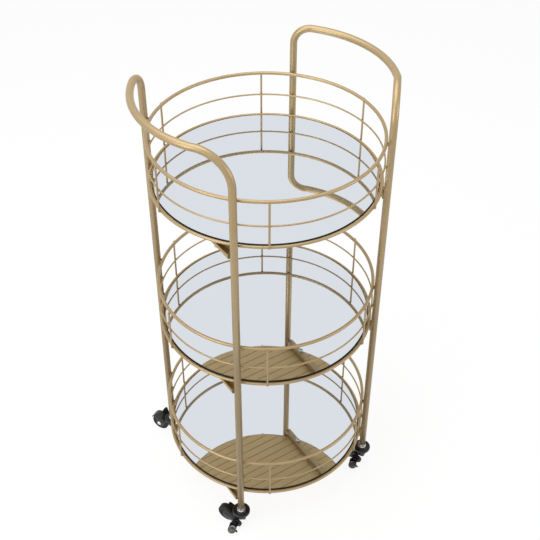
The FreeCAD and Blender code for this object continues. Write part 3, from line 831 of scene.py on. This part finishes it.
def draw_lever():
    lever = bmesh.new()
    root = TOE_TRAIL - 5
    outline = [(root, LEVER_SIDE), (18.0, LEVER_SIDE), (17.6, LEVER_SIDE + 3)]
    outline += arc((TOE_TRAIL, TOE_SIDE), TOE_RADIUS, 0, 188, 24)
    outline += arc((-3.6, 26.0), 2.0, 90, 270, 8) + [(-1.2, 23.8), (0.4, 19.5), (root, 17.0)]
    plate = [(x, y, LEVER_TOP - LEVER_SHEET) for x, y in outline]
    part_of(lever, lambda shape: prism(shape, plate, (0, 0, LEVER_SHEET)), 0.6, 3)
    hub = (HUB_RADIUS, 4.0, (BRAKE_TRAIL, LEVER_SIDE + 2, BRAKE_HEIGHT), 40, ALONG_Y)
    part_of(lever, lambda shape: add_drum(shape, *hub), 0.6, 3)
    length = LEVER_SIDE + ARM_OUTER
    middle = (BRAKE_TRAIL, LEVER_SIDE - length / 2, BRAKE_HEIGHT)
    shaft = (SHAFT_RADIUS, length, middle, 32, ALONG_Y)
    part_of(lever, lambda shape: add_drum(shape, *shaft), 0.3)
    return lever


def draw_pad():
    """Round plate with a rolled rim and a low dome in its middle."""
    outline = [(0, LEVER_TOP), (PAD_RADIUS - 0.2, LEVER_TOP), (PAD_RADIUS, LEVER_TOP + 0.3)]
    outline += arc((PAD_RADIUS - 0.7, LEVER_TOP + PAD_HEIGHT - 0.7), 0.7, 0, 90, 5)
    outline += [(radius, LEVER_TOP + rise)
                for radius, rise in ((6.6, 1.1), (6.0, 0.9), (4.0, 1.1), (2.0, 1.3), (0, 1.35))]
    centre = (TOE_TRAIL, TOE_SIDE, 0)
    return tidy_shape(spin_outline(bmesh.new(), outline, 48, centre=centre, closed=False))


def draw_cam():
    """Nose on the shaft that meets the tread when the lever has turned through its travel."""
    cam = bmesh.new()
    half = ARM_INNER - 0.6
    along, up = TRAIL - BRAKE_TRAIL, WHEEL_RADIUS - BRAKE_HEIGHT
    turn = math.atan2(up, along) - BRAKE_TRAVEL
    reach = math.hypot(along, up) - WHEEL_RADIUS - 0.4 - 2.2
    nose = (BRAKE_TRAIL + reach * math.cos(turn), BRAKE_HEIGHT + reach * math.sin(turn))
    across = math.degrees(turn)
    outline = arc(nose, 2.1, across - 70, across + 70, 10)
    outline += arc((BRAKE_TRAIL, BRAKE_HEIGHT), 3.8, across + 70, across + 290, 24)
    part_of(cam, lambda shape: side_plate(shape, outline, -half, half), 0.3)
    return cam


for caster in BRAKED:
    brake = caster + "_brake"
    finish_piece(caster + "_lever", put_in_place(draw_lever(), caster), [black_enamel],
                 brake, "black_steel", brake + "_pedal")
    finish_piece(caster + "_toe_pad", put_in_place(draw_pad(), caster), [dull_steel], brake, "zinc")
    finish_piece(caster + "_cam", put_in_place(draw_cam(), caster), [black_enamel],
                 brake, "black_steel", brake + "_cam")

# Studio. A white sweep under and behind the trolley, a wide soft lamp overhead and weaker ones
# at the sides, and the camera at a standing person's height.

CAMERA_PLACE = Vector((-0.7205, -1.1279, 1.6245))
CAMERA_HEADING = math.radians(57.105)
CAMERA_PITCH = math.radians(40.059)
CAMERA_ROLL = math.radians(0.189)
LENS_MM = 63.376
SENSOR_MM = 36
ROOM_LIGHT, ROOM_SEEN = 0.42, 1.0
FLOOR_WHITE = (0.82, 0.82, 0.82, 1)
FLOOR_SIZE, FLOOR_GLOW, GLOW_SHARE = 30, 1.06, 0.85


def add_camera():
    data = bpy.data.cameras.new("camera")
    data.sensor_width = SENSOR_MM
    data.lens = LENS_MM
    camera = bpy.data.objects.new("camera", data)
    bpy.context.scene.collection.objects.link(camera)
    turn = Matrix.Rotation(CAMERA_HEADING - math.pi / 2, 4, "Z")
    tilt = Matrix.Rotation(math.pi / 2 - CAMERA_PITCH, 4, "X")
    roll = Matrix.Rotation(CAMERA_ROLL, 4, "Z")
    camera.matrix_world = Matrix.Translation(CAMERA_PLACE) @ turn @ tilt @ roll
    bpy.context.scene.camera = camera


def add_lamp(name, place, size, power, target=(0, 0, 0.45)):
    data = bpy.data.lights.new(name, "AREA")
    data.shape = "DISK"
    data.size = size
    data.energy = power
    lamp = bpy.data.objects.new(name, data)
    bpy.context.scene.collection.objects.link(lamp)
    lamp.location = place
    lamp.rotation_euler = (Vector(target) - Vector(place)).to_track_quat("-Z", "Y").to_euler()


def seen_directly(nodes, links):
    """1 for what the camera, metal or glass sees, and 0 for light on rough surfaces."""
    path = nodes.new("ShaderNodeLightPath")
    glossy = nodes.new("ShaderNodeMath")
    glossy.operation = "MAXIMUM"
    either = nodes.new("ShaderNodeMath")
    either.operation = "MAXIMUM"
    links.new(path.outputs["Is Camera Ray"], glossy.inputs[0])
    links.new(path.outputs["Is Glossy Ray"], glossy.inputs[1])
    links.new(glossy.outputs["Value"], either.inputs[0])
    links.new(path.outputs["Is Transmission Ray"], either.inputs[1])
    return either.outputs["Value"]


def light_the_world():
    world = bpy.data.worlds.new("studio")
    world.use_nodes = True
    bpy.context.scene.world = world
    nodes, links = world.node_tree.nodes, world.node_tree.links
    backdrop = nodes["Background"]
    backdrop.inputs["Color"].default_value = (1, 1, 1, 1)
    strength = nodes.new("ShaderNodeMapRange")
    strength.inputs["To Min"].default_value = ROOM_LIGHT
    strength.inputs["To Max"].default_value = ROOM_SEEN
    links.new(seen_directly(nodes, links), strength.inputs["Value"])
    links.new(strength.outputs["Result"], backdrop.inputs["Strength"])


def add_floor():
    mesh = bpy.data.meshes.new("floor")
    shape = bmesh.new()
    bmesh.ops.create_grid(shape, x_segments=1, y_segments=1, size=FLOOR_SIZE)
    shape.to_mesh(mesh)
    shape.free()
    floor = bpy.data.objects.new("floor", mesh)
    bpy.context.scene.collection.objects.link(floor)
    material, nodes, links = new_material("white_sweep")
    diffuse = nodes["Principled BSDF"]
    diffuse.inputs["Base Color"].default_value = FLOOR_WHITE
    diffuse.inputs["Roughness"].default_value = 1
    diffuse.inputs["Specular IOR Level"].default_value = 0
    glow = nodes.new("ShaderNodeEmission")
    glow.inputs["Strength"].default_value = FLOOR_GLOW
    blend = nodes.new("ShaderNodeMixShader")
    share = nodes.new("ShaderNodeMath")
    share.operation = "MULTIPLY"
    share.inputs[1].default_value = GLOW_SHARE
    links.new(seen_directly(nodes, links), share.inputs[0])
    links.new(share.outputs["Value"], blend.inputs["Fac"])
    links.new(diffuse.outputs["BSDF"], blend.inputs[1])
    links.new(glow.outputs["Emission"], blend.inputs[2])
    links.new(blend.outputs["Shader"], nodes["Material Output"].inputs["Surface"])
    mesh.materials.append(material)


add_camera()
light_the_world()
add_lamp("overhead", (-0.4, 0.2, 2.6), 2.4, 30)
add_lamp("left_softbox", (-2.2, -0.4, 1.4), 1.6, 20)
add_lamp("right_softbox", (1.6, -2.0, 1.2), 1.2, 10)
add_floor()
bpy.context.scene.view_settings.view_transform = "Standard"
